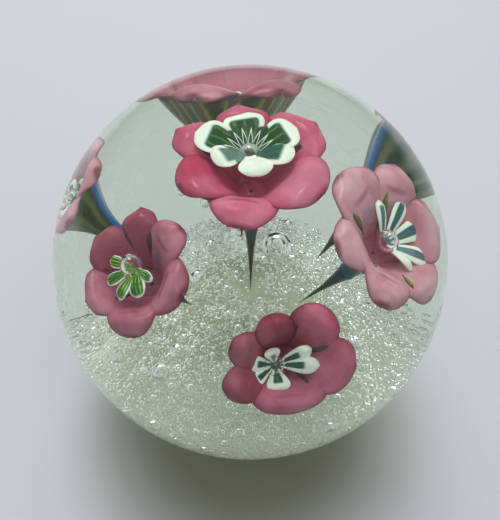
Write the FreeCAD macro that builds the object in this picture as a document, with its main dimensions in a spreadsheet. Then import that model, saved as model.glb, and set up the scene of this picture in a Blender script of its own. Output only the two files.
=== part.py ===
import FreeCAD, Part
import os
import Sketcher

# Lampworked-and-cased glass paperweight with seven trumpet flowers over a bubble bed.
# Millimetres. +Z is up and the origin is the middle of the ground base. -Y is the front.

doc = FreeCAD.newDocument("paperweight")
sheet = doc.addObject("Spreadsheet::Sheet", "sizes")

sizeValues = {
    # the three layers of glass
    "globe_radius": 41.0,
    "base_radius": 21.0,
    "casing_thickness": 4.0,
    "bed_inset": 8.5,
    "bed_dome_height": 52.0,
    "bed_rise": 3.0,
    # where the flower axes meet, below the middle of the globe
    "root_drop": 15.0,
    # every flower: the flared petals, their lobes, the green trumpet and its neck
    "petal_count": 6,
    "petal_thickness": 0.8,
    "petal_overlap": 0.22,
    "rim_allowance": 1.0,
    "mouth_depth": 6.5,
    "throat_radius": 2.4,
    "flare_slack": 1.35,
    "inner_thickness": 0.6,
    "inner_width": 0.64,
    "trumpet_thickness": 0.9,
    "trumpet_width": 0.72,
    "neck_length": 4.5,
    "neck_radius": 1.1,
    "stem_tip_radius": 0.1,
    "bubble_radius": 1.8,
    "bubble_rise": 0.5,
}

# Each flower: half angle it fills as seen from the root, free angle between it and the
# centre flower, direction round the globe from the front, glass over its mouth, length of
# its stem below the trumpet, and how its petals are turned about its axis.
flowerValues = {
    "centre": {"spread": 18.1, "lean": 2.0, "turn": 12.0, "cover": 14.6, "stem_length": 15.3,
               "twist": 19.0},
    "front": {"spread": 15.0, "gap": 19.7, "turn": 11.5, "cover": 7.8, "stem_length": 9.5,
              "twist": 36.0},
    "left": {"spread": 15.0, "gap": 6.7, "turn": -50.3, "cover": 11.3, "stem_length": 6.2,
             "twist": 7.0},
    "right": {"spread": 18.3, "gap": 3.5, "turn": 71.9, "cover": 11.2, "stem_length": 11.6,
              "twist": 19.0},
    "back": {"spread": 20.0, "gap": 11.9, "turn": 186.0, "cover": 11.2, "stem_length": 7.0,
             "twist": 14.0},
    "left_back": {"spread": 14.3, "gap": 20.1, "turn": 253.5, "cover": 7.7,
                  "stem_length": 10.4, "twist": 20.0},
    "right_back": {"spread": 15.4, "gap": 32.5, "turn": 135.0, "cover": 6.9,
                   "stem_length": 6.1, "twist": 12.0},
}

for flower, own in flowerValues.items():
    for key, value in own.items():
        sizeValues[flower + "_" + key] = value

for row, (alias, value) in enumerate(sizeValues.items(), start=1):
    sheet.set("A" + str(row), str(value))
    sheet.setAlias("A" + str(row), alias)
doc.recompute()


def primitive(kind, name, **bound):
    """A Part primitive with each given property bound to an expression."""
    made = doc.addObject("Part::" + kind, name)
    for prop, expression in bound.items():
        made.setExpression(prop, expression)
    return made


def lift(made, height):
    """Move an object up the Z axis by an expression."""
    made.setExpression("Placement.Base.z", height)
    return made


def boolean(kind, name, base, tool):
    """A Part::Cut or Part::Common of two objects."""
    made = doc.addObject("Part::" + kind, name)
    made.Base = base
    made.Tool = tool
    return made


def fused(name, pieces):
    """One tool shape from several objects."""
    made = doc.addObject("Part::MultiFuse", name)
    made.Shapes = pieces
    return made


def originPlane(body, role):
    """One of a body's own origin planes, found by its role."""
    return [plane for plane in body.Origin.OriginFeatures if plane.Role == role][0]


def boundConstraint(sketch, kind, target, expression):
    """A dimension in a sketch that follows an expression."""
    value = float(sketch.evalExpression(expression))
    index = sketch.addConstraint(Sketcher.Constraint(kind, *target, value))
    sketch.setExpression("Constraints[" + str(index) + "]", expression)


def flareArc(start, end, radius):
    """The arc between two points of a flare that bulges up and towards the axis."""
    low, high = sorted((start, end), key=lambda point: point.y)
    chord = high - low
    bulge = radius - (radius ** 2 - chord.Length ** 2 / 4) ** 0.5
    sideways = FreeCAD.Vector(-chord.y, chord.x, 0).normalize()
    return Part.Arc(start, (low + high) / 2 + sideways * bulge, end)


def endAt(sketch, edge, place):
    """Which end of an edge, 1 or 2, lies at a place."""
    return min((1, 2), key=lambda end: sketch.getPoint(edge, end).distanceToPoint(place))


def profileSketch(body, corners, flares):
    """A closed outline through corners of (radius, height) expressions, on the XZ plane.

    flares maps the number of an edge to the radius expression of the arc it follows.
    """
    sketch = body.newObject("Sketcher::SketchObject", body.Name + "_profile")
    sketch.AttachmentSupport = [(originPlane(body, "XZ_Plane"), "")]
    sketch.MapMode = "FlatFace"
    places = []
    for across, up in corners:
        values = [float(sketch.evalExpression(expression)) for expression in (across, up)]
        places.append(FreeCAD.Vector(*values, 0))
    count = len(places)
    for edge, start in enumerate(places):
        end = places[(edge + 1) % count]
        if edge in flares:
            radius = float(sketch.evalExpression(flares[edge]))
            sketch.addGeometry(flareArc(start, end, radius))
        else:
            sketch.addGeometry(Part.LineSegment(start, end))
    for edge, place in enumerate(places):
        before = (edge - 1) % count
        ends = (before, endAt(sketch, before, place), edge, endAt(sketch, edge, place))
        sketch.addConstraint(Sketcher.Constraint("Coincident", *ends))
    for edge, (across, up) in enumerate(corners):
        point = (-1, 1, edge, endAt(sketch, edge, places[edge]))
        boundConstraint(sketch, "DistanceX", point, across)
        boundConstraint(sketch, "DistanceY", point, up)
    for edge, radius in flares.items():
        boundConstraint(sketch, "Radius", (edge,), radius)
    return sketch


def revolvedBody(name, corners, flares):
    """A body turned about the Z axis from an outline."""
    body = doc.addObject("PartDesign::Body", name)
    sketch = profileSketch(body, corners, flares)
    turned = body.newObject("PartDesign::Revolution", name + "_turned")
    turned.Profile = sketch
    turned.ReferenceAxis = (sketch, ["V_Axis"])
    turned.Angle = 360
    body.Tip = turned
    return body


def lobedPrism(name, reach, tall, twist):
    """A tall prism whose outline is a ring of round lobes that reach a given radius."""
    body = doc.addObject("PartDesign::Body", name)
    sketch = body.newObject("Sketcher::SketchObject", name + "_lobe")
    sketch.AttachmentSupport = [(originPlane(body, "XY_Plane"), "")]
    sketch.MapMode = "FlatFace"
    lobe = "(" + reach + ") * (1 / 3 + sizes.petal_overlap / 2)"
    middle = "(" + reach + ") - " + lobe
    centre = FreeCAD.Vector(float(sketch.evalExpression(middle)), 0, 0)
    radius = float(sketch.evalExpression(lobe))
    sketch.addGeometry(Part.Circle(centre, FreeCAD.Vector(0, 0, 1), radius))
    sketch.addConstraint(Sketcher.Constraint("PointOnObject", 0, 3, -1))
    boundConstraint(sketch, "DistanceX", (-1, 1, 0, 3), middle)
    boundConstraint(sketch, "Radius", (0,), lobe)
    pad = body.newObject("PartDesign::Pad", name + "_pad")
    pad.Profile = sketch
    pad.setExpression("Length", tall)
    ring = body.newObject("PartDesign::PolarPattern", name + "_ring")
    ring.Originals = [pad]
    ring.Axis = (sketch, ["N_Axis"])
    ring.Angle = 360
    ring.setExpression("Occurrences", "sizes.petal_count")
    body.Tip = ring
    body.setExpression("Placement.Rotation.Angle", twist)
    return body


# The glass layers
globeMiddle = "sqrt(sizes.globe_radius ^ 2 - sizes.base_radius ^ 2)"
coreRadius = "(sizes.globe_radius - sizes.casing_thickness)"
rootHeight = "(" + globeMiddle + " - sizes.root_drop)"


def leanOf(flower):
    """How far a flower's axis tips from upright."""
    if flower == "centre":
        return "sizes.centre_lean"
    return "(sizes.centre_spread + sizes.{0}_spread + sizes.{0}_gap)".format(flower)


def mouthOf(flower):
    """Distance along a flower's axis from the root to the plane of its mouth."""
    lean = leanOf(flower)
    toSurface = "sizes.root_drop * cos({0}) + sqrt({1} ^ 2 - (sizes.root_drop * sin({0})) ^ 2)"
    return "(" + toSurface.format(lean, coreRadius) + " - sizes." + flower + "_cover)"


def setOnAxis(made, flower, along="0"):
    """Lay an object on a flower's axis, a given distance from the root."""
    lean = leanOf(flower)
    turn = "sizes." + flower + "_turn"
    across = "({0}) * sin({1})".format(along, lean)
    place = "vector({0} * sin({1}); -1 * {0} * cos({1}); {2} + ({3}) * cos({4}))".format(
        across, turn, rootHeight, along, lean)
    tip = "rotation(vector(cos({0}); sin({0}); 0); {1})".format(turn, lean)
    spin = "rotation(vector(0; 0; 1); {0})".format(turn)
    made.setExpression("Placement", "placement({0}; {1} * {2})".format(place, tip, spin))


def flowerPieces(flower):
    """The petals, inner petals, trumpet and stem of one flower, and its throat bubble."""
    mouth = mouthOf(flower)
    reach = "({0} * tan(sizes.{1}_spread))".format(mouth, flower)
    drop = "({0} - sizes.mouth_depth".format(mouth)
    rim = "({0} + sizes.rim_allowance)".format(reach)
    chord = "sqrt(({0} - sizes.throat_radius) ^ 2 + sizes.mouth_depth ^ 2)".format(rim)
    flare = "({0} / sqrt(2) * sizes.flare_slack)".format(chord)
    twist = "sizes." + flower + "_twist"

    def shell(name, above, below):
        """A flared shell between two copies of the mouth surface, shifted along the axis."""
        corners = [
            ("sizes.throat_radius", drop + below + ")"),
            (rim, mouth + below),
            (rim, mouth + above),
            ("sizes.throat_radius", drop + above + ")"),
        ]
        return revolvedBody(name, corners, {0: flare, 2: flare})

    tall = "({0} + sizes.globe_radius)".format(mouth)
    lobes = lobedPrism(flower + "_lobes", reach, tall, twist)
    outer = shell(flower + "_outer_shell", "", " - sizes.petal_thickness")
    petals = boolean("Common", flower + "_flower_petals", outer, lobes)

    innerReach = "({0} * sizes.inner_width)".format(reach)
    innerTwist = twist + " + 180 / sizes.petal_count"
    innerLobes = lobedPrism(flower + "_inner_lobes", innerReach, tall, innerTwist)
    inner = shell(flower + "_inner_shell", " + sizes.inner_thickness", "")
    innerPetals = boolean("Common", flower + "_flower_inner_petals", inner, innerLobes)

    under = " - sizes.petal_thickness"
    outside = under + " - sizes.trumpet_thickness"
    neck = drop + outside + " - sizes.neck_length)"
    corners = [
        ("0", neck),
        ("sizes.neck_radius", neck),
        ("sizes.throat_radius", drop + outside + ")"),
        (rim, mouth + outside),
        (rim, mouth + under),
        ("sizes.throat_radius", drop + under + ")"),
        ("0", drop + under + ")"),
    ]
    funnel = revolvedBody(flower + "_funnel", corners, {2: flare, 4: flare})
    bound = {"Radius": "{0} * sizes.trumpet_width".format(reach), "Height": tall}
    trumpet = boolean("Common", flower + "_flower_trumpet", funnel,
                      primitive("Cylinder", flower + "_trumpet_edge", **bound))

    stemLength = "sizes." + flower + "_stem_length"
    stem = primitive("Cone", flower + "_flower_stem", Radius1="sizes.stem_tip_radius",
                     Radius2="sizes.neck_radius", Height=stemLength)
    bubble = primitive("Sphere", flower + "_throat_bubble", Radius="sizes.bubble_radius")

    for piece in (petals, innerPetals, trumpet):
        setOnAxis(piece, flower)
    setOnAxis(stem, flower, neck + " - " + stemLength)
    rise = " + sizes.bubble_radius + sizes.bubble_rise)"
    setOnAxis(bubble, flower, drop + rise)
    return [petals, innerPetals, trumpet, stem], bubble


nodes = []
flowerSpaces = []
for flower in flowerValues:
    pieces, bubble = flowerPieces(flower)
    nodes += pieces
    flowerSpaces.append(fused(flower + "_flower_space", pieces + [bubble]))
doc.recompute()

aboveBase = primitive("Cylinder", "above_base", Radius="2 * sizes.globe_radius",
                      Height="3 * sizes.globe_radius")
globe = lift(primitive("Sphere", "globe", Radius="sizes.globe_radius"), globeMiddle)
gather = lift(primitive("Sphere", "inner_gather", Radius=coreRadius), globeMiddle)
bedRadius = "(" + coreRadius + " - sizes.bed_inset)"
dome = lift(primitive("Ellipsoid", "bed_dome", Radius1="sizes.bed_dome_height",
                      Radius2=bedRadius, Radius3=bedRadius),
            globeMiddle + " + sizes.bed_rise - sizes.bed_dome_height")

groundGlobe = boolean("Common", "ground_globe", globe, aboveBase)
groundGather = boolean("Common", "ground_gather", gather, aboveBase)
flowerSpace = fused("flower_space", flowerSpaces)
bedBlank = boolean("Common", "bed_blank", groundGather, dome)
nodes.append(boolean("Cut", "clear_casing", groundGlobe, gather))
nodes.append(boolean("Cut", "bubble_bed", bedBlank, flowerSpace))
nodes.append(boolean("Cut", "clear_core", boolean("Cut", "core_blank", groundGather, dome),
                     flowerSpace))
doc.recompute()

os.makedirs("parts", exist_ok=True)
for node in nodes:
    node.Label = node.Name
    if node.Shape.isNull() or not node.Shape.isValid() or len(node.Shape.Solids) != 1:
        raise RuntimeError(node.Label + " is not one valid solid")
for made in doc.Objects:
    if "Invalid" in made.State or "Error" in made.State:
        raise RuntimeError(made.Label + " failed to build")
for node in nodes:
    node.Shape.exportStep("parts/" + node.Label + ".step")
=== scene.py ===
import math

import bpy
import numpy as np
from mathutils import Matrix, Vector


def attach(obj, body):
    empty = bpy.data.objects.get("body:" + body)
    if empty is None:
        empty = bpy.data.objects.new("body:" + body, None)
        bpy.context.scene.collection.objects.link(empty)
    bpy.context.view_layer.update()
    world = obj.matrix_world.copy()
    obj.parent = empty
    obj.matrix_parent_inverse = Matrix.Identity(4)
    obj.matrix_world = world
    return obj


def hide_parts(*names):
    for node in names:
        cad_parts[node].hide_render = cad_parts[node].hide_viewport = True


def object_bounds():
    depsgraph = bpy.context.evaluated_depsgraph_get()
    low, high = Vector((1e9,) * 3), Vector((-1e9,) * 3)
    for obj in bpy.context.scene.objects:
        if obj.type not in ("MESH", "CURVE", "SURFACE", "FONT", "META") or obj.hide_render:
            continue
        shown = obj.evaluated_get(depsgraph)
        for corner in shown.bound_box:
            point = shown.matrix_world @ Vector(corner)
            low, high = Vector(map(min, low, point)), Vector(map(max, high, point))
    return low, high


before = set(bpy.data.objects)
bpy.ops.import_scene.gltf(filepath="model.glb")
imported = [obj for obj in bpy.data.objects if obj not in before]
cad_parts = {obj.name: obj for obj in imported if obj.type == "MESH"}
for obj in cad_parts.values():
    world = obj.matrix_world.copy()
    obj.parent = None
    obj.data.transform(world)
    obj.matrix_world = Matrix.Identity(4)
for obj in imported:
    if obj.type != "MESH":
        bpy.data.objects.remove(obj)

# A glass paperweight: seven trumpet flowers over a bed of air bubbles, cased in clear glass.
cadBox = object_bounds()
millimetre = 0.001
boxLow, boxHigh = (np.array(corner) for corner in cadBox)
globeRadius = float(min(boxHigh[0] - boxLow[0], boxHigh[1] - boxLow[1])) / 2
globeMiddle = np.array([0.0, 0.0, float(boxHigh[2]) - globeRadius])
draw = np.random.default_rng(7)

# Camera
view = {"elevation": 45.0, "distance": 3.0, "lens": 40.3, "sensor": 36.0, "drop": 0.004}
lookFrom = math.radians(view["elevation"])
towardsCamera = np.array([0.0, -math.cos(lookFrom), math.sin(lookFrom)])
cameraData = bpy.data.cameras.new("camera")
cameraData.sensor_fit = "HORIZONTAL"
cameraData.sensor_width = view["sensor"]
cameraData.lens = view["lens"]
cameraData.shift_y = view["drop"]
cameraData.clip_start = 0.001
camera = bpy.data.objects.new("camera", cameraData)
camera.location = Vector(globeMiddle + towardsCamera * view["distance"] * globeRadius)
camera.rotation_euler = Vector(towardsCamera).to_track_quat("Z", "Y").to_euler()
bpy.context.scene.collection.objects.link(camera)
bpy.context.scene.camera = camera
print("camera placed")


# A socket that can be used in sums: an expression on it adds its Math nodes.
class Sock:
    def __init__(self, recipe, link):
        self.recipe = recipe
        self.link = link

    def sum(self, operation, first, second=0.5):
        return self.recipe.node("Math", {"operation": operation}, {0: first, 1: second})

    def __add__(self, other): return self.sum("ADD", self, other)
    def __radd__(self, other): return self.sum("ADD", other, self)
    def __sub__(self, other): return self.sum("SUBTRACT", self, other)
    def __rsub__(self, other): return self.sum("SUBTRACT", other, self)
    def __mul__(self, other): return self.sum("MULTIPLY", self, other)
    def __rmul__(self, other): return self.sum("MULTIPLY", other, self)
    def __truediv__(self, other): return self.sum("DIVIDE", self, other)
    def __pow__(self, other): return self.sum("POWER", self, other)
    def __abs__(self): return self.sum("ABSOLUTE", self)
    def most(self, other): return self.sum("MAXIMUM", self, other)
    def sine(self): return self.sum("SINE", self)
    def fraction(self): return self.sum("FRACT", self)

    # 0 below low, 1 above high, smooth between.
    def step(self, low, high):
        settings = {"interpolation_type": "SMOOTHSTEP"}
        return self.recipe.node("MapRange", settings, {0: self, 1: low, 2: high})


# A material's node tree, with one method for every node that is not a sum.
class Recipe:
    def __init__(self, name):
        self.material = bpy.data.materials.new(name)
        self.material.use_nodes = True
        self.tree = self.material.node_tree
        self.tree.nodes.clear()

    def node(self, kind, settings=None, sockets=None, out=0):
        made = self.tree.nodes.new("ShaderNode" + kind)
        for key, value in (settings or {}).items():
            if key == "stops":
                self.fillRamp(made.color_ramp, value)
            else:
                setattr(made, key, value)
        for key, value in (sockets or {}).items():
            if isinstance(value, Sock):
                self.tree.links.new(value.link, made.inputs[key])
            elif isinstance(value, tuple) and len(value) == 3 and made.inputs[key].type == "RGBA":
                made.inputs[key].default_value = (*value, 1.0)
            else:
                made.inputs[key].default_value = value
        return Sock(self, made.outputs[out])

    def fillRamp(self, ramp, stops):
        while len(ramp.elements) < len(stops):
            ramp.elements.new(0.5)
        for element, (place, colour) in zip(ramp.elements, stops):
            element.position = place
            element.color = (*colour, 1.0)

    def place(self):
        return self.node("TexCoord", out=3)

    def attribute(self, name):
        return self.node("Attribute", {"attribute_name": name}, out=2)

    def noise(self, scale, detail=3.0, where=None, distortion=0.0):
        sockets = {"Vector": where or self.place(), "Scale": scale, "Detail": detail,
                   "Distortion": distortion}
        return self.node("TexNoise", None, sockets)

    def blend(self, amount, first, second, how="MIX"):
        settings = {"data_type": "RGBA", "blend_type": how}
        return self.node("Mix", settings, {0: amount, 6: first, 7: second}, out=2)

    def finish(self, shader):
        output = self.tree.nodes.new("ShaderNodeOutputMaterial")
        self.tree.links.new(shader.link, output.inputs[0])
        return self.material


# Mesh building


# One mesh from stacks of closed rings: (shape, ring, round the ring, xyz) in metres.
# Quads join each ring to the next, and a fan to the middle of each end ring closes it.
def loftMesh(name, rings, fields, recipe):
    shapes, count, around, _ = rings.shape
    ends = rings[:, [0, -1]].mean(axis=2)
    points = np.concatenate([rings.reshape(shapes, -1, 3), ends], axis=1)
    each = count * around + 2
    ring, step = np.meshgrid(np.arange(count - 1), np.arange(around), indexing="ij")
    here = ring * around + step
    beside = ring * around + (step + 1) % around
    quads = np.stack([here, beside, beside + around, here + around], axis=-1).reshape(-1, 4)
    turn = np.arange(around)
    last = (count - 1) * around
    first = np.stack([(turn + 1) % around, turn, np.full(around, each - 2)], axis=-1)
    final = np.stack([last + turn, last + (turn + 1) % around, np.full(around, each - 1)], axis=-1)
    offsets = np.arange(shapes)[:, None, None] * each
    allQuads = (quads[None] + offsets).reshape(-1, 4)
    fans = (np.concatenate([first, final])[None] + offsets).reshape(-1, 3)
    corners = np.concatenate([allQuads.ravel(), fans.ravel()])
    sizes = np.concatenate([np.full(len(allQuads), 4), np.full(len(fans), 3)])
    points = points.reshape(-1, 3)
    if enclosed(points, allQuads, fans) < 0:
        corners = np.concatenate([allQuads[:, ::-1].ravel(), fans[:, ::-1].ravel()])
    mesh = bpy.data.meshes.new(name)
    mesh.vertices.add(len(points))
    mesh.vertices.foreach_set("co", points.astype(np.float32).ravel())
    mesh.loops.add(len(corners))
    mesh.loops.foreach_set("vertex_index", corners.astype(np.int32))
    mesh.polygons.add(len(sizes))
    mesh.polygons.foreach_set("loop_start", (np.cumsum(sizes) - sizes).astype(np.int32))
    mesh.polygons.foreach_set("use_smooth", np.ones(len(sizes), bool))
    for key, values in fields.items():
        ended = np.concatenate([values.reshape(shapes, -1), values[:, [0, -1]].mean(axis=2)], axis=1)
        layer = mesh.attributes.new(key, "FLOAT", "POINT")
        layer.data.foreach_set("value", ended.astype(np.float32).ravel())
    mesh.update(calc_edges=True)
    mesh.validate()
    mesh.materials.append(recipe)
    piece = bpy.data.objects.new(name, mesh)
    bpy.context.scene.collection.objects.link(piece)
    return piece


# The signed volume inside the faces: positive where they point outwards.
def enclosed(points, quads, fans):
    triangles = np.concatenate([quads[:, [0, 1, 2]], quads[:, [0, 2, 3]], fans])
    a, b, c = (points[triangles[:, k]] for k in range(3))
    return float(np.einsum("ij,ij->i", a, np.cross(b, c)).sum())


# Attach a finished piece to the root body, and hide the CAD nodes that it stands for.
def settle(piece, slot, *nodes):
    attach(piece, "root")
    if nodes:
        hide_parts(*nodes)
    return piece


# 0 below low, 1 above high, and a cubic ease between.
def smooth(value, low=0.0, high=1.0):
    part = np.clip((value - low) / (high - low), 0.0, 1.0)
    return part * part * (3 - 2 * part)


# Glass


# Refracting glass that lets lamp light through to what it holds, dimmed by shade.
def clearGlass(name, colour, index, roughness, shade):
    recipe = Recipe(name)
    glass = recipe.node("BsdfGlass", None, {"Color": colour, "IOR": index, "Roughness": roughness})
    through = recipe.node("BsdfTransparent", None, {"Color": shade})
    shadowRay = recipe.node("LightPath", out=1)
    return recipe.finish(recipe.node("MixShader", None, {0: shadowRay, 1: glass, 2: through}))


casing = {
    "colour": (0.955, 1.0, 0.945), "index": 1.5, "shade": (0.62, 0.63, 0.57),
    "roundness": 192, "rings": 120, "baseEdge": 0.5, "inset": 0.01, "crownAngle": 0.004,
    "baseRings": (0.02, 0.5, 0.9, 0.965, 0.985),
}


# Turned outline: out along the flat base, round its small edge, then up the sphere to
# the top; radius sin(angle) and height cos(angle) of the globe, angle from the base up.
def globeRings():
    drop = globeMiddle[2]
    radius = globeRadius - casing["inset"] * millimetre
    start = math.acos(drop / radius)
    edge = casing["baseEdge"] * millimetre / radius
    angles = np.linspace(start + edge, math.pi - casing["crownAngle"], casing["rings"])
    sphere = np.stack([radius * np.sin(angles), drop - radius * np.cos(angles)], axis=-1)
    foot = radius * math.sin(start)
    flat = np.array([[foot * part, 0.0] for part in casing["baseRings"]])
    outline = np.concatenate([flat, sphere])
    around = np.linspace(0, 2 * math.pi, casing["roundness"], endpoint=False)
    return np.stack([
        outline[:, :1] * np.cos(around), outline[:, :1] * np.sin(around),
        np.repeat(outline[:, 1:], len(around), axis=1)], axis=-1)[None]


globe = loftMesh("clear_globe", globeRings(), {}, clearGlass(
    "clearGlass", casing["colour"], casing["index"], 0.0, casing["shade"]))
settle(globe, "clear_glass", "clear_casing", "clear_core")
print("glass globe made")

# Bed of bubbles

# The bed in millimetres, heights from the globe's middle: its dome and the ground inside
# it (radius, rise, and the sphere that holds it), the ground's mesh, the sizes of the
# bubbles, and the clear glass beside and ahead of each stem.
bed = {
    "radius": 28.5, "domeHeight": 52.0, "rise": 3.0, "outer": 36.6,
    "groundRadius": 26.8, "groundRise": -5.5, "groundOuter": 36.1, "grain": 0.10,
    "roundness": 300, "rings": 240, "deepest": 0.80,
    "fine": 15000, "fineSize": (0.10, 0.30), "middling": 620, "middlingSize": (0.30, 0.72),
    "clearing": 1.9, "clearAhead": 14.0, "focus": -16.0, "blend": 14.0,
    "ripple": 4.0, "grainScale": 30, "topAngle": 0.01, "lowest": 0.3,
    "spread": 1.62, "towardsDome": 0.75, "layer": (0.04, 0.94), "lowestBubble": 0.8,
}

# The bed's dome: an upright ellipsoid, held inside a sphere about the globe's middle.
# Distances run from the focus, a point on the axis: to the ellipsoid by the quadratic
# formula, to the sphere the same way, and the nearer of the two by an eased minimum.
def domeSurface(polar, around, radius, rise, outer):
    polar, around = np.broadcast_arrays(polar, around)
    direction = np.stack([np.sin(polar) * np.cos(around), np.sin(polar) * np.sin(around),
                          np.cos(polar)], axis=-1)
    start = np.array([0.0, 0.0, bed["focus"]])
    stretch = np.array([1 / radius, 1 / radius, 1 / bed["domeHeight"]])
    offset = (start - [0, 0, rise - bed["domeHeight"]]) * stretch
    a = ((direction * stretch) ** 2).sum(-1)
    b = (direction * stretch * offset).sum(-1)
    c = (offset ** 2).sum() - 1
    toEllipse = (-b + np.sqrt(b * b - a * c)) / a
    d = (direction * start).sum(-1)
    toSphere = -d + np.sqrt(d * d - (start ** 2).sum() + outer ** 2)
    reach = (toEllipse ** -bed["blend"] + toSphere ** -bed["blend"]) ** (-1 / bed["blend"])
    return start + direction * reach[..., None]


# A gentle unevenness from -1 to 1: the sum of six sine waves in random directions.
def ripple(points, scale, seed):
    waves = np.random.default_rng(seed)
    total = np.zeros(points.shape[:-1])
    for _ in range(6):
        way = waves.normal(size=3)
        way *= scale / np.linalg.norm(way)
        total += np.sin(points @ way + waves.uniform(0, 6.3))
    return total / 3


# Grey-green ground, mottled by noise, with light and dark specks from two cell patterns,
# the same cells raised as bump, and a little glow for the light that glass carries in.
def bedMaterial():
    recipe = Recipe("bubbleBed")
    broad = recipe.noise(90.0, 4.0)
    grain = recipe.noise(1500.0, 2.0)
    cells = recipe.node("TexVoronoi", None, {"Vector": recipe.place(), "Scale": 1300.0})
    fine = recipe.node("TexVoronoi", None, {"Vector": recipe.place(), "Scale": 2600.0})
    height = recipe.node("SeparateXYZ", None, {0: recipe.place()}, out=2)
    high = recipe.blend(broad.step(0.3, 0.7), (0.26, 0.29, 0.21), (0.38, 0.41, 0.31))
    low = recipe.blend(broad.step(0.3, 0.7), (0.66, 0.70, 0.60), (0.80, 0.83, 0.73))
    ground = recipe.blend(height.step(0.012, 0.030), low, high)
    lit = recipe.blend(1 - cells.step(0.08, 0.32), ground, (0.86, 0.88, 0.78))
    dark = recipe.blend((1 - fine.step(0.05, 0.25)) * grain.step(0.5, 0.6), lit, (0.13, 0.15, 0.11))
    bump = recipe.node("Bump", None, {"Strength": 0.5, "Distance": 0.0003,
                                      "Height": cells * 0.7 + fine * 0.5})
    return recipe.finish(recipe.node("BsdfPrincipled", None, {
        "Base Color": dark, "Roughness": 0.35, "IOR": 1.2, "Normal": bump,
        "Emission Color": dark, "Emission Strength": 0.16}))


# The ground's dome over polar angle and turn, with a fine ripple for its grain.
def bedRings():
    polar = np.linspace(bed["topAngle"], math.pi * bed["deepest"], bed["rings"])[:, None]
    around = np.linspace(0, 2 * math.pi, bed["roundness"], endpoint=False)[None]
    points = domeSurface(polar, around, bed["groundRadius"], bed["groundRise"], bed["groundOuter"])
    grain = bed["grain"] / bed["grainScale"]
    points = points * (1 + grain * ripple(points, bed["ripple"], 3)[..., None])
    points = points + np.array([0.0, 0.0, globeMiddle[2] / millimetre])
    points[..., 2] = np.maximum(points[..., 2], bed["lowest"])
    return points[None] * millimetre


bedBody = loftMesh("bubble_bed_ground", bedRings(), {}, bedMaterial())
settle(bedBody, "bubble_glass", "bubble_bed")

airBubble = clearGlass("airBubble", (1.0, 1.0, 1.0), 1 / casing["index"], 0.0, (1.0, 1.0, 1.0))


# Spheres of air: rings by polar angle, corners by turn, all centres at once.
def bubbleCloud(name, centres, radii, rings, around, slot):
    polar = np.linspace(0, math.pi, rings + 2)[1:-1][:, None]
    turn = np.linspace(0, 2 * math.pi, around, endpoint=False)[None]
    unit = np.stack([np.sin(polar) * np.cos(turn), np.sin(polar) * np.sin(turn),
                     np.cos(polar) + 0 * turn], axis=-1)
    places = centres[:, None, None] + unit[None] * radii[:, None, None, None]
    places = places + np.array([0.0, 0.0, globeMiddle[2] / millimetre])
    cloud = loftMesh(name, places * millimetre, {}, airBubble)
    cloud.visible_shadow = False
    return settle(cloud, slot)


# True where a place lies beside a stem or in the glass in front of it, which holds no
# bubbles: the distance from a slab swept from the stem towards the front.
def besideStem(centres, place):
    forwards = towardsCamera * bed["clearAhead"]
    base = place["base"] - globeMiddle / millimetre
    tip = base + place["axis"] * place["tip"]
    neck = base + place["axis"] * (place["mouth"] - funnel["length"])
    taken = np.zeros(len(centres), bool)
    for part in np.linspace(0, 1, 9):
        start = tip + (neck - tip) * part
        offset = centres - start
        ahead = np.clip((offset @ towardsCamera) / bed["clearAhead"], 0.0, 1.0)
        gap = np.linalg.norm(offset - ahead[:, None] * forwards, axis=1)
        taken |= gap < bed["clearing"]
    return taken


# Random places between the ground and the bed's dome, more of them near the dome, and
# random sizes, most of them small.
def scatterInBed(count, sizes, power):
    polar = np.arccos(1 - draw.random(count) * bed["spread"])
    around = draw.random(count) * 2 * math.pi
    outer = domeSurface(polar, around, bed["radius"], bed["rise"], bed["outer"])
    inner = domeSurface(polar, around, bed["groundRadius"], bed["groundRise"], bed["groundOuter"])
    depth = draw.random(count)[:, None] ** bed["towardsDome"]
    centres = inner + (outer - inner) * (bed["layer"][0] + bed["layer"][1] * depth)
    radii = sizes[0] + (sizes[1] - sizes[0]) * draw.random(count) ** power
    keep = centres[:, 2] > bed["lowestBubble"] - globeMiddle[2] / millimetre
    for place in places.values():
        keep &= ~besideStem(centres, place)
    return centres[keep], radii[keep]


# Flowers

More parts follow.
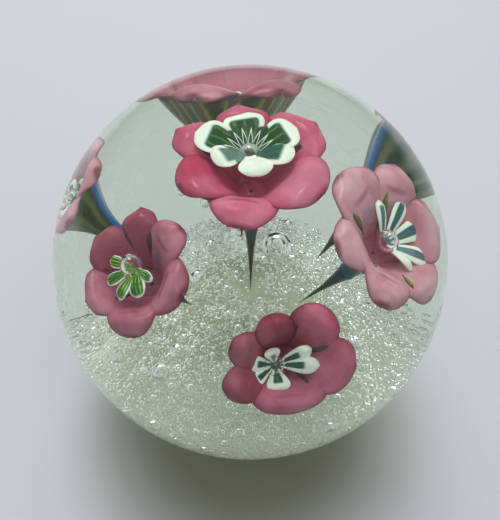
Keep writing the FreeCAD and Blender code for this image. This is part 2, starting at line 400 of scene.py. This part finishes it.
# Each flower: how its axis lies; its petals as (angle, width, reach, depth of colour,
# smudge); the inner flower's place across the mouth, its throat and tip heights and its
# leaves as (angle, width, reach, green share); the sprigs and streaks between petals as
# (angle, width, reach, shade, start); the throat bubble's radius and height over the
# mouth. Degrees and millimetres.
evenLeaves = [(angle, 46, 3.6, 0.8) for angle in range(10, 370, 60)]
flowers = {
    "centre": {
        "lean": 2.0, "turn": 12.0, "petals": [
            (28.5, 66, 12.6, 0.45, 0.0), (87.5, 58, 11.6, 0.8, 0.0), (137.5, 50, 13.2, 0.6, 0.0),
            (190, 62, 11.9, 0.95, 0.0), (250, 62, 12.9, 0.25, 0.3), (318.5, 74, 12.2, 0.2, 0.0)],
        "heart": (0.2, 2.6), "throat": -2.4, "tips": 0.75, "leaves": [
            (88, 66, 6.9, 1.0), (14, 60, 7.9, 1.0), (332, 56, 6.9, 0.35), (270, 62, 6.3, 0.0),
            (196, 58, 6.2, 0.3), (150, 58, 8.5, 1.0)],
        "sprigs": [(209, 13, 6.6, 0.9, 3.0), (294, 11, 7.2, 0.9, 2.6), (147, 8, 8.6, 0.5, 6.0),
                   (14, 9, 8.6, 0.5, 5.6), (64, 9, 8.4, 0.2, 6.2)],
        "bubble": 1.7, "bubbleHeight": -1.2},
    "front": {
        "lean": 52.8, "turn": 11.5, "petals": [
            (45.5, 62, 10.2, 0.35, 0.0), (104, 60, 8.0, 0.85, 0.0), (156, 54, 9.2, 1.0, 0.0),
            (200.5, 50, 10.9, 0.8, 0.0), (267.5, 88, 9.0, 0.3, 0.2), (344.5, 66, 11.0, 0.2, 0.0)],
        "heart": (-1.5, -0.4), "throat": -5.2, "tips": -1.5, "leaves": [
            (167, 44, 4.6, 0.6), (208, 34, 5.3, 0.8), (268, 62, 4.3, 0.6), (352, 34, 6.5, 1.0),
            (19, 32, 5.8, 0.8), (104, 60, 2.9, 0.3)],
        "sprigs": [(68, 10, 5.9, 0.4, 2.4), (13, 9, 6.6, 0.9, 3.4), (307, 14, 5.2, 0.5, 2.4),
                   (143, 10, 6.4, 0.3, 3.0)],
        "bubble": 1.8, "bubbleHeight": -3.2},
    "left": {
        "lean": 39.8, "turn": -50.3, "petals": [
            (15.5, 72, 9.6, 0.2, 1.0), (77, 56, 10.2, 0.2, 0.9), (124.5, 52, 10.1, 0.95, 0.0),
            (178, 62, 9.4, 0.75, 0.0), (242, 64, 9.8, 0.35, 0.0), (307, 66, 10.2, 0.5, 0.25)],
        "heart": (-0.4, 0.8), "throat": -1.6, "tips": 0.5, "leaves": [
            (203, 36, 4.2, 0.9), (249, 32, 5.0, 1.0), (287, 30, 5.6, 1.0), (327, 42, 5.3, 1.0),
            (4, 30, 4.4, 0.4)],
        "sprigs": [(144, 7, 7.4, 0.6, 4.2), (106, 12, 6.6, 0.1, 3.6), (66, 14, 4.8, 0.2, 2.2),
                   (207, 8, 6.2, 0.9, 3.6), (237, 9, 7.0, 1.0, 4.2), (262, 12, 5.2, 0.7, 3.0)],
        "bubble": 1.9, "bubbleHeight": 0.6},
    "right": {
        "lean": 39.9, "turn": 71.9, "petals": [
            (24, 54, 12.6, 0.35, 0.6), (81, 68, 12.8, 0.15, 0.4), (140, 60, 12.2, 0.2, 0.0),
            (195, 58, 12.8, 0.3, 0.3), (253, 62, 12.0, 0.5, 0.0), (321, 72, 10.8, 0.6, 0.0)],
        "heart": (0.0, 0.2), "throat": -4.2, "tips": -1.2, "leaves": [
            (48, 24, 6.3, 0.4), (8, 24, 7.9, 0.9), (329, 34, 8.2, 0.9), (283, 30, 8.2, 1.0),
            (252, 20, 5.9, 0.0)],
        "sprigs": [(35, 13, 8.8, 1.0, 2.6), (106, 14, 8.9, 0.5, 4.0), (291, 8, 9.2, 0.8, 6.4),
                   (231, 9, 9.0, 0.9, 5.6), (173, 13, 8.0, 0.6, 3.6)],
        "bubble": 1.8, "bubbleHeight": -2.2},
    "back": {
        "lean": 50.0, "turn": 186.0, "petals": [
            (2, 70, 12.6, 0.3, 0.3), (62, 62, 12.2, 0.1, 0.0), (122, 64, 12.4, 0.7, 0.2),
            (182, 70, 12.8, 0.4, 0.5), (242, 60, 11.2, 0.5, 0.0), (300, 62, 11.5, 0.5, 0.0)],
        "heart": (0.0, 0.0), "throat": -4.2, "tips": -1.2, "leaves": evenLeaves,
        "sprigs": [], "bubble": 1.7, "bubbleHeight": -3.4},
    "left_back": {
        "lean": 52.5, "turn": 253.5, "petals": [
            (20, 64, 9.3, 0.1, 0.4), (80, 62, 9.0, 0.4, 0.5), (140, 62, 9.4, 0.3, 0.0),
            (200, 64, 9.2, 0.4, 0.3), (260, 62, 9.3, 0.4, 0.0), (320, 62, 9.1, 0.2, 0.9)],
        "heart": (0.0, 0.0), "throat": -4.8, "tips": -2.8, "leaves": evenLeaves,
        "sprigs": [], "bubble": 1.7, "bubbleHeight": -3.4},
    "right_back": {
        "lean": 66.0, "turn": 135.0, "petals": [
            (12, 64, 9.1, 0.3, 0.0), (72, 62, 9.2, 0.5, 0.0), (132, 62, 9.0, 0.3, 0.0),
            (192, 64, 9.2, 0.4, 0.0), (252, 62, 9.1, 0.6, 0.0), (312, 62, 9.2, 0.4, 0.0)],
        "heart": (0.0, 0.0), "throat": -4.2, "tips": -1.2, "leaves": evenLeaves,
        "sprigs": [], "bubble": 1.7, "bubbleHeight": -3.4},
}
root = {"drop": 15.0}
mouth = {"depth": 6.5, "throat": 2.2, "bend": 2.5}
funnel = {
    "rings": 60, "around": 96, "top": 0.74, "wall": 1.5, "rib": 0.05, "neck": 1.3, "length": 12.7,
    "capRings": 16, "cap": (0.02, 0.97), "narrowing": 2.1, "falling": 0.85,
}
spike = {"rings": 48, "around": 32, "straight": 0.45, "thick": 0.55, "point": 0.03}


# Every vertex of a CAD node, in millimetres.
def nodePoints(node):
    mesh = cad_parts[node].data
    points = np.empty(len(mesh.vertices) * 3, np.float32)
    mesh.vertices.foreach_get("co", points)
    return points.reshape(-1, 3).astype(float) / millimetre


# Where a flower sits: its root point, two sideways directions, its axis, and from the
# CAD solids the distance from the root to its mouth and to its stem's tip.
def flowerFrame(flower):
    lean, turn = (math.radians(flowers[flower][key]) for key in ("lean", "turn"))
    axis = np.array([math.sin(lean) * math.sin(turn), -math.sin(lean) * math.cos(turn),
                     math.cos(lean)])
    side = np.array([math.cos(turn), math.sin(turn), 0.0])
    base = globeMiddle / millimetre - np.array([0.0, 0.0, root["drop"]])
    points = nodePoints(flower + "_flower_petals") - base
    stem = nodePoints(flower + "_flower_stem") - base
    return {"base": base, "side": side, "up": np.cross(axis, side), "axis": axis,
            "mouth": float((points @ axis).max()), "tip": float((stem @ axis).min())}


# Flower coordinates (across, along, height over the mouth) to metres.
def placed(place, across, along, height):
    return (place["base"] + across[..., None] * place["side"] + along[..., None] * place["up"]
            + (place["mouth"] + height)[..., None] * place["axis"]) * millimetre


# Trumpet curve: minus depth times (1 - t) to a power, t from the throat to the rim.
def mouthHeight(distance, reach):
    part = np.clip((distance - mouth["throat"]) / (reach - mouth["throat"]), 0.0, 1.25)
    return -mouth["depth"] * np.abs(1 - np.minimum(part, 1.0)) ** mouth["bend"]


# The inner flower's bowl: from its throat height to its tip height as 1 - (1 - t) squared.
def bowlHeight(own):
    def height(distance, reach):
        part = np.clip(distance / reach, 0.0, 1.0)
        return own["throat"] + (own["tips"] - own["throat"]) * (1 - (1 - part) ** 2)
    return height


# Leaf sheets in a ring about a middle point. Each is a flattened tube along its midline:
# half width is an eased taper from the throat, then a half ellipse to the tip; height is
# the surface it lies on plus a crown across the leaf, a roll-over at the tip and a ripple.
def petalRings(place, leaves, shape, surface, middle, seed):
    wild = np.random.default_rng(seed)
    nudge = 0.05
    along = (1 - np.cos(np.linspace(0.02, 1, shape["rings"]) * math.pi)) / 2
    ringTurn = np.linspace(0, 2 * math.pi, shape["around"], endpoint=False)
    keys = ("across", "along", "tone", "under", "share", "extra", "polar", "far")
    sheets, fields = [], {key: [] for key in keys}
    for number, leaf in enumerate(leaves):
        angle, width, reach, share, extra = (*leaf, 0.0)[:5]
        start = extra if shape["start"] is None else shape["start"]
        distance = start + (reach - start) * along
        widest = start + (reach - start) * shape["widest"]
        half = math.tan(math.radians(width / 2)) * widest * shape["fill"]
        inwards = smooth(distance, start, widest) * (1 - shape["waist"]) + shape["waist"]
        outwards = np.sqrt(np.clip(1 - ((distance - widest) / (reach - widest)) ** 2, 0.0, 1))
        halfWidth = half * np.where(distance < widest, inwards, outwards)
        across = np.cos(ringTurn)[None] * np.ones(len(along))[:, None]
        edgeways = np.sign(np.sin(ringTurn)) * np.abs(np.sin(ringTurn)) ** 0.75
        x = np.repeat(distance[:, None], len(ringTurn), axis=1)
        y = halfWidth[:, None] * across
        far = np.hypot(x, y)
        rim = reach * 1.02 if shape["rim"] is None else shape["rim"]
        height = surface(far, rim)
        slope = (surface(far + nudge, rim) - surface(far - nudge, rim)) / (2 * nudge)
        tipwards = along[:, None]
        crown = shape["crown"] * (1 - across ** 2) * smooth(tipwards, 0.15, 0.75)
        roll = -shape["roll"] * smooth(tipwards, 0.7, 1.0) ** 2
        phase = wild.uniform(0, 6.3)
        wave = shape["wave"] * np.sin(tipwards * 6 + across * 2.5 + phase)
        wave = wave * smooth(tipwards, 0.2, 0.8)
        lift = shape["layer"] * (number % 2) + shape["lift"]
        thin = np.minimum(1.0, 4.5 * (1.02 - tipwards)) ** 0.5
        thick = shape["thick"] / 2 * edgeways[None] * thin
        norm = np.sqrt(1 + slope ** 2)
        angleOf = math.radians(angle)
        outX = x - thick * slope / norm * x / far
        outY = y - thick * slope / norm * y / far
        flowerX = outX * math.cos(angleOf) - outY * math.sin(angleOf)
        flowerY = outX * math.sin(angleOf) + outY * math.cos(angleOf)
        sheets.append(placed(place, flowerX + middle[0], flowerY + middle[1],
                             height + crown + roll + wave + lift + thick / norm))
        flat = 0 * across
        polar = np.arctan2(flowerY, flowerX) / (2 * math.pi) + 0.5
        values = (across, tipwards + flat, wild.random() + flat, flat + (edgeways < 0)[None],
                  share + flat, extra + flat, polar, far)
        for key, value in zip(keys, values):
            fields[key].append(value)
    return np.stack(sheets), {key: np.stack(values) for key, values in fields.items()}


petalShape = {
    "start": 0.4, "rings": 44, "around": 44, "widest": 0.62, "fill": 1.06, "waist": 0.42,
    "crown": 0.9, "roll": 0.9, "wave": 0.22, "layer": 0.35, "lift": -0.4, "thick": 0.85,
    "rim": None,
}
innerShape = {
    "start": 0.7, "rings": 34, "around": 36, "widest": 0.66, "fill": 1.0, "waist": 0.42,
    "crown": 0.22, "roll": 0.35, "wave": 0.08, "layer": 0.12, "lift": 0.0, "thick": 0.45,
    "rim": None,
}
sprigShape = {
    "start": None, "rings": 22, "around": 16, "widest": 0.45, "fill": 1.0, "waist": 0.12,
    "crown": 0.1, "roll": 0.1, "wave": 0.05, "layer": 0.0, "lift": 0.28, "thick": 0.4,
}


# Coloured glass held in clear glass: an index near its surroundings' keeps its own gloss
# faint, and a glow in its own colour stands for the light that the globe carries in.
def colouredGlass(recipe, colour, roughness, index, glow=0.0):
    sockets = {"Base Color": colour, "Roughness": roughness, "IOR": index}
    if glow:
        sockets.update({"Emission Color": colour, "Emission Strength": glow})
    return recipe.finish(recipe.node("BsdfPrincipled", None, sockets))


# Deep colour at the edges and in the throat, light in the middle, clouded by noise; a
# smudge low on some petals, painted shade on a fold line across others, violet-grey
# on the underside.
def petalMaterial(name, light, deep, cloud):
    recipe = Recipe(name)
    side, along = recipe.attribute("across"), recipe.attribute("along")
    across, tone, under = abs(side), recipe.attribute("share"), recipe.attribute("under")
    smear = recipe.attribute("extra")
    mottle = recipe.noise(260.0, 4.0, distortion=0.6)
    broad = recipe.noise(95.0, 2.0)
    veins = recipe.noise(700.0, 3.0, distortion=1.5)
    between = tuple(0.55 * a + 0.45 * b for a, b in zip(light, deep))
    body = recipe.blend(mottle.step(0.32, 0.68), light, between)
    toned = recipe.blend(tone.step(0.15, 1.0) * 0.8, body, deep)
    throat = recipe.blend((1 - along.step(0.05, 0.45)) * 0.9, toned, deep)
    clouded = recipe.blend(broad.step(0.52, 0.68) * 0.5, throat, cloud)
    veined = recipe.blend(veins.step(0.55, 0.75) * 0.25, clouded, cloud)
    # Painted shade in a crease: a darker line across the petal where it would fold.
    bend = (abs(along - 0.62 - side * side * 0.08)).step(0.0, 0.06)
    paintedCrease = (1 - bend) * (1 - across.step(0.25, 0.6)) * smear.step(0.1, 0.3) * 0.6
    creaseShaded = recipe.blend(paintedCrease, veined, tuple(0.75 * part for part in deep))
    middle = (side * side * 5.0 + (along - 0.40) * (along - 0.40) * 60.0).step(0.0, 1.0)
    smudged = recipe.blend((1 - middle) * smear * 0.85, creaseShaded, (0.15, 0.16, 0.26))
    edge = (across ** 9.0).most(along.step(0.93, 1.0))
    edged = recipe.blend(edge * 0.85, smudged, tuple(0.55 * part for part in deep))
    beneath = recipe.blend(under * 0.5, edged, (0.26, 0.22, 0.34))
    return colouredGlass(recipe, beneath, 0.2, 1.33, 0.07)


# White petals with a green or teal heart that fades outwards, striped along the petal.
# near: how far out every part is green; out: where the heart ends; width: its half width;
# zigzag: height of a white zigzag line round the throat.
def innerMaterial(name, heart, fade, stripe, near, out, width, zigzag):
    recipe = Recipe(name)
    side, along = recipe.attribute("across"), recipe.attribute("along")
    far, share = recipe.attribute("far"), recipe.attribute("share")
    ragged = recipe.noise(700.0, 2.0)
    stripes = (side * 12.0 + ragged * 4.0).sine()
    patches = recipe.noise(420.0, 3.0)
    inside = (1 - abs(side).step(width, width + 0.28)).most(1 - along.step(near, near + 0.14))
    extent = (1 - along.step(out - 0.12, out + 0.06)) * inside * share.step(0.05, 0.6)
    core = recipe.blend(stripes.step(0.2, 0.95) * patches.step(0.35, 0.6), heart, stripe)
    soft = recipe.blend(extent.step(0.0, 0.55), (0.74, 0.79, 0.72), fade)
    colour = recipe.blend(extent.step(0.35, 0.9), soft, core)
    if zigzag:
        teeth = abs((recipe.attribute("polar") * 17.0).fraction() - 0.5) * 2.0
        line = 1 - abs(far - 1.5 - teeth * zigzag).step(0.05, 0.42)
        colour = recipe.blend(line * share.step(0.6, 0.9), colour, (0.74, 0.80, 0.78))
    return colouredGlass(recipe, colour, 0.22, 1.3, 0.10)


# A sprig between petals: one colour at its middle line, another at its edges, flecked.
def sprigMaterial(name, middle, edge):
    recipe = Recipe(name)
    across, shade = abs(recipe.attribute("across")), recipe.attribute("share")
    flecks = recipe.noise(900.0, 3.0)
    colour = recipe.blend(across.step(0.1, 0.9).most(flecks.step(0.5, 0.7)), middle, edge)
    dimmed = recipe.blend(1 - shade, colour, tuple(0.55 * part for part in edge))
    return colouredGlass(recipe, dimmed, 0.25, 1.33)


# Stripes that run down the funnel by the angle round the axis, out of a list of colours,
# teal towards the neck; blue is the turn of one blue band, or None.
def trumpetMaterial(name, colours, teal, blue):
    recipe = Recipe(name)
    angle, down = recipe.attribute("around"), recipe.attribute("down")
    wander = recipe.noise(180.0, 3.0)
    lines = (angle * 69.0 + wander * 6.0 + down * 3.0).sine()
    stops = [(0.12 + 0.76 * n / (len(colours) - 1), colour) for n, colour in enumerate(colours)]
    colour = recipe.node("ValToRGB", {"stops": stops}, {0: lines * 0.5 + 0.5})
    colour = recipe.blend(down.step(0.45, 0.85), colour, teal)
    if blue is not None:
        band = 1 - abs(angle - blue).step(0.035, 0.06)
        colour = recipe.blend(band, colour, (0.0, 0.13, 0.45))
    return colouredGlass(recipe, colour, 0.2, 1.33, 0.12)


# Dark glass drawn out: fine long streaks, one colour at the neck and one at the point.
def stemMaterial(name, high, low):
    recipe = Recipe(name)
    angle, down = recipe.attribute("around"), recipe.attribute("down")
    streaks = (angle * 31.0 + recipe.noise(500.0, 2.0) * 5.0).sine()
    ground = recipe.blend(down.step(0.05, 0.42), high, low)
    amber = streaks.step(0.2, 0.9) * down.step(0.2, 0.5) * 0.6
    colour = recipe.blend(amber, ground, (0.11, 0.075, 0.02))
    return colouredGlass(recipe, colour, 0.2, 1.33)


# A funnel turned about the axis: its cap follows the trumpet curve a wall lower, then it
# narrows as an eased curve to the neck, ribbed by the cosine of six turns.
def trumpetRings(place, reach, petals):
    turn = np.linspace(0, 2 * math.pi, funnel["around"], endpoint=False)[None]
    part = np.linspace(0, 1, funnel["rings"])[:, None]
    rim = reach * funnel["top"]
    topHeight = float(mouthHeight(np.array(rim), reach)) - funnel["wall"] * 0.5
    radius = funnel["neck"] + (rim - funnel["neck"]) * (1 - part) ** funnel["narrowing"]
    height = topHeight + (-funnel["length"] - topHeight) * part ** funnel["falling"]
    ribs = 1 + funnel["rib"] * np.cos(6 * (turn - math.radians(petals[0][0]))) * (1 - part)
    cap = np.linspace(*funnel["cap"], funnel["capRings"])[:, None]
    capHeight = mouthHeight(cap * rim, reach) - funnel["wall"] * (1 - 0.5 * cap)
    radius = np.concatenate([cap * rim, radius])
    height = np.concatenate([capHeight, height])
    ribs = np.concatenate([1 + 0 * cap * turn, ribs])
    radius = radius * ribs
    down = np.concatenate([0 * cap, part]) + 0 * turn
    rings = placed(place, radius * np.cos(turn), radius * np.sin(turn), height + 0 * turn)
    return rings[None], {"around": (turn / (2 * math.pi) + 0 * radius)[None], "down": down[None]}


# A spike: its radius falls from the neck to a point as an eased curve, thick near the top.
def stemRings(place):
    turn = np.linspace(0, 2 * math.pi, spike["around"], endpoint=False)[None]
    part = np.linspace(0, 1, spike["rings"])[:, None]
    taper = spike["straight"] * (1 - part) + spike["thick"] * (1 - part) ** 3.0
    radius = funnel["neck"] * taper + spike["point"]
    bottom = place["tip"] - place["mouth"]
    height = -funnel["length"] + (bottom + funnel["length"]) * part
    rings = placed(place, radius * np.cos(turn), radius * np.sin(turn), height + 0 * turn)
    return rings[None], {"around": (turn / (2 * math.pi) + 0 * radius)[None],
                         "down": (part + 0 * turn)[None]}


# Petals, each a light colour, a deep colour and a cloud
petalColours = {
    "rose": ((0.62, 0.17, 0.28), (0.42, 0.02, 0.085), (0.52, 0.18, 0.29)),
    "crimson": ((0.52, 0.12, 0.21), (0.19, 0.004, 0.03), (0.40, 0.15, 0.21)),
    "dusty": ((0.52, 0.19, 0.27), (0.26, 0.025, 0.07), (0.38, 0.18, 0.26)),
    "pale": ((0.68, 0.36, 0.44), (0.36, 0.07, 0.13), (0.48, 0.33, 0.37)),
}
petalGlass = {kind: petalMaterial(kind + "Glass", *colours) for kind, colours in petalColours.items()}
petalKinds = {"centre": "rose", "front": "crimson", "left": "dusty", "back": "dusty"}

# Inner petals
greenHeart = innerMaterial("whiteGreenGlass", (0.008, 0.045, 0.012), (0.02, 0.10, 0.09),
                           (0.05, 0.17, 0.012), 0.40, 0.74, 0.55, 2.2)
limeHeart = innerMaterial("whiteLimeGlass", (0.02, 0.10, 0.01), (0.05, 0.20, 0.05),
                          (0.32, 0.50, 0.05), 0.20, 0.94, 0.62, 0.0)
tealHeart = innerMaterial("whiteTealGlass", (0.005, 0.06, 0.05), (0.05, 0.20, 0.17),
                          (0.02, 0.12, 0.03), 0.05, 0.62, 0.28, 0.0)
slateHeart = innerMaterial("whiteSlateGlass", (0.03, 0.09, 0.13), (0.14, 0.27, 0.26),
                           (0.10, 0.22, 0.06), 0.05, 0.86, 0.30, 0.0)
hearts = {"centre": greenHeart, "left": limeHeart, "right": slateHeart}

# Sprigs, funnels and stems, with a plain one for each flower that has none of its own
darkSprig = sprigMaterial("greyGreenSprig", (0.035, 0.05, 0.045), (0.12, 0.045, 0.05))
oliveSprig = sprigMaterial("oliveSprig", (0.22, 0.24, 0.03), (0.06, 0.065, 0.012))
sprigs = {"right": oliveSprig}
plainFunnel = trumpetMaterial("darkFunnel", [(0.012, 0.02, 0.012), (0.03, 0.06, 0.02),
                                             (0.07, 0.07, 0.02)], (0.008, 0.085, 0.10), None)
funnels = {
    "back": trumpetMaterial("limeFunnel", [(0.04, 0.035, 0.01), (0.09, 0.14, 0.02), (0.22, 0.28, 0.04),
                                           (0.13, 0.07, 0.05)], (0.03, 0.09, 0.02), None),
    "left_back": trumpetMaterial("oliveFunnel", [(0.018, 0.03, 0.008), (0.045, 0.05, 0.012),
                                                 (0.07, 0.06, 0.02), (0.10, 0.17, 0.03)],
                                 (0.02, 0.04, 0.015), 0.245),
    "right_back": trumpetMaterial("tealFunnel", [(0.006, 0.035, 0.03), (0.012, 0.07, 0.05),
                                                 (0.07, 0.12, 0.03), (0.16, 0.17, 0.10)],
                                  (0.05, 0.07, 0.02), 0.165),
}
stems = {
    "centre": stemMaterial("tealBrownStem", (0.008, 0.085, 0.10), (0.045, 0.03, 0.012)),
    "right": stemMaterial("blueOliveStem", (0.0, 0.04, 0.085), (0.05, 0.055, 0.012)),
    "right_back": stemMaterial("tealOliveStem", (0.01, 0.07, 0.07), (0.06, 0.06, 0.02)),
}
darkStem = stemMaterial("darkGreenStem", (0.01, 0.05, 0.04), (0.02, 0.03, 0.015))
places = {flower: flowerFrame(flower) for flower in flowers}

for number, (flower, own) in enumerate(flowers.items()):
    place = places[flower]
    axis = (0.0, 0.0)
    finish = petalGlass[petalKinds.get(flower, "pale")]
    slot = "rose_petals" if flower == "centre" else "pink_petals"
    rings, fields = petalRings(place, own["petals"], petalShape, mouthHeight, axis, 20 + number)
    settle(loftMesh(flower + "_petals", rings, fields, finish), slot, flower + "_flower_petals")

    bowl = bowlHeight(own)
    finish = hearts.get(flower, tealHeart)
    rings, fields = petalRings(place, own["leaves"], innerShape, bowl, own["heart"], 40 + number)
    inner = loftMesh(flower + "_inner_petals", rings, fields, finish)
    settle(inner, "white_petals", flower + "_flower_inner_petals")

    reach = float(np.mean([leaf[2] for leaf in own["petals"]]))
    if own["sprigs"]:
        shape = {**sprigShape, "rim": reach}
        finish = sprigs.get(flower, darkSprig)
        rings, fields = petalRings(place, own["sprigs"], shape, mouthHeight, axis, 60 + number)
        settle(loftMesh(flower + "_sprigs", rings, fields, finish), "green_trumpets")

    rings, fields = trumpetRings(place, reach, own["petals"])
    trumpet = loftMesh(flower + "_trumpet", rings, fields, funnels.get(flower, plainFunnel))
    settle(trumpet, "green_trumpets", flower + "_flower_trumpet")
    rings, fields = stemRings(place)
    stem = loftMesh(flower + "_stem", rings, fields, stems.get(flower, darkStem))
    settle(stem, "dark_stems", flower + "_flower_stem")

    over = [np.array([part]) for part in (*own["heart"], own["bubbleHeight"])]
    centre = placed(place, *over) / millimetre - np.array([0.0, 0.0, globeMiddle[2] / millimetre])
    bubbleCloud(flower + "_throat_bubble", centre, np.array([own["bubble"]]), 30, 40, "clear_glass")
    print(flower, "flower made")

# Bubbles of the bed

for letter in "abcd":
    centres, radii = scatterInBed(bed["fine"] // 4, bed["fineSize"], 1.8)
    bubbleCloud("fine_bubbles_" + letter, centres, radii, 3, 7, "bubble_glass")
centres, radii = scatterInBed(bed["middling"], bed["middlingSize"], 2.2)
bubbleCloud("middling_bubbles", centres, radii, 7, 12, "bubble_glass")

# The few large ones, each (x, y, z) from the globe's middle and a radius
large = np.array([
    (3.9, 2.0, 1.2, 2.2), (-7.6, -3.2, 0.0, 1.2), (-10.4, -11.6, -6.6, 1.2), (-12.8, -12.6, -9.6, 1.25),
    (-5.7, 2.2, 1.2, 0.95), (6.2, -0.6, 1.0, 0.9), (-6.6, -21.4, -18.4, 1.0), (-13.7, -16.8, -16.6, 1.1),
    (15.1, -7.8, -8.4, 1.0), (-18.1, -6.5, -12.0, 1.0), (7.6, -5.6, -0.8, 0.8), (-20.5, 0.8, -14.0, 0.9),
    (11.5, -17.9, -15.8, 0.9), (19.4, -8.6, -16.4, 0.9), (-1.5, -20.6, -14.5, 0.8),
    (-9.7, 13.9, 0.4, 0.75), (-8.4, 14.0, 0.6, 0.7), (-6.6, 13.0, -0.9, 0.8), (5.4, 8.4, -0.8, 0.8)])
bubbleCloud("large_bubbles", large[:, :3], large[:, 3], 22, 32, "bubble_glass")
print("bed of bubbles made")

# Stage

# shade, shadeReach and shadeAhead: the colour, reaches and forward offset of the shadow painted on the
# floor
stage = {
    "floor": 3.0, "colour": (0.54, 0.555, 0.58), "sky": (0.88, 0.90, 0.94), "skyStrength": 0.58,
    "horizon": (0.40, 0.43, 0.38), "band": (0.02, 0.30),
    "shade": (0.10, 0.10, 0.075), "shadeReach": (0.018, 0.046), "shadeAhead": 0.018,
}


# Pale board with the faintest mottle, and a painted shadow, dull olive, where the heavy glass
# rests and keeps the light off: full shade within the first reach of the foot, none past the second.
def floorMaterial():
    recipe = Recipe("paleBoard")
    mottle = recipe.noise(6.0, 2.0)
    colour = recipe.blend(mottle.step(0.3, 0.7), stage["colour"],
                          tuple(0.985 * part for part in stage["colour"]))
    # Painted shadow: the board darkens to the shade colour near a point just ahead of the foot.
    foot = (0.0, -stage["shadeAhead"], 0.0)
    away = recipe.node("VectorMath", {"operation": "DISTANCE"}, {0: recipe.place(), 1: foot}, out=1)
    colour = recipe.blend(away.step(*stage["shadeReach"]), stage["shade"], colour)
    return recipe.finish(recipe.node("BsdfPrincipled", None, {"Base Color": colour, "Roughness": 0.7}))


half = stage["floor"] / 2
floorMesh = bpy.data.meshes.new("floor")
floorMesh.from_pydata([(-half, -half, 0), (half, -half, 0), (half, half, 0), (-half, half, 0)], [],
                      [(0, 1, 2, 3)])
floorMesh.materials.append(floorMaterial())
floor = bpy.data.objects.new("floor", floorMesh)
bpy.context.scene.collection.objects.link(floor)

world = bpy.data.worlds.new("studio")
bpy.context.scene.world = world
world.use_nodes = True
worldTree = world.node_tree
background = worldTree.nodes["Background"]
background.inputs["Strength"].default_value = stage["skyStrength"]
direction = worldTree.nodes.new("ShaderNodeTexCoord")
split = worldTree.nodes.new("ShaderNodeSeparateXYZ")
ramp = worldTree.nodes.new("ShaderNodeValToRGB")
skyColours = (stage["horizon"], stage["sky"])
for element, place, colour in zip(ramp.color_ramp.elements, stage["band"], skyColours):
    element.position = place
    element.color = (*colour, 1.0)
worldTree.links.new(direction.outputs["Generated"], split.inputs[0])
worldTree.links.new(split.outputs[2], ramp.inputs[0])
worldTree.links.new(ramp.outputs[0], background.inputs["Color"])

lamps = {
    "key": {"place": (-0.06, 0.45, 0.72), "size": 0.45, "power": 4.2, "colour": (1.0, 1.0, 1.0)},
    "fill": {"place": (0.15, -0.3, 0.7), "size": 0.6, "power": 1.2, "colour": (0.97, 0.98, 1.0)},
}
for name, lamp in lamps.items():
    light = bpy.data.lights.new(name, "AREA")
    light.shape = "DISK"
    light.size = lamp["size"]
    light.energy = lamp["power"]
    light.color = lamp["colour"]
    made = bpy.data.objects.new(name, light)
    made.location = lamp["place"]
    aim = Vector(globeMiddle) - Vector(lamp["place"])
    made.rotation_euler = aim.to_track_quat("-Z", "Y").to_euler()
    made.visible_glossy = False
    bpy.context.scene.collection.objects.link(made)

scene = bpy.context.scene
scene.view_settings.view_transform = "Standard"
scene.cycles.max_bounces = 32
scene.cycles.transmission_bounces = 32
scene.cycles.glossy_bounces = 12
scene.cycles.transparent_max_bounces = 16
scene.cycles.caustics_reflective = False
print("stage and lamps set")
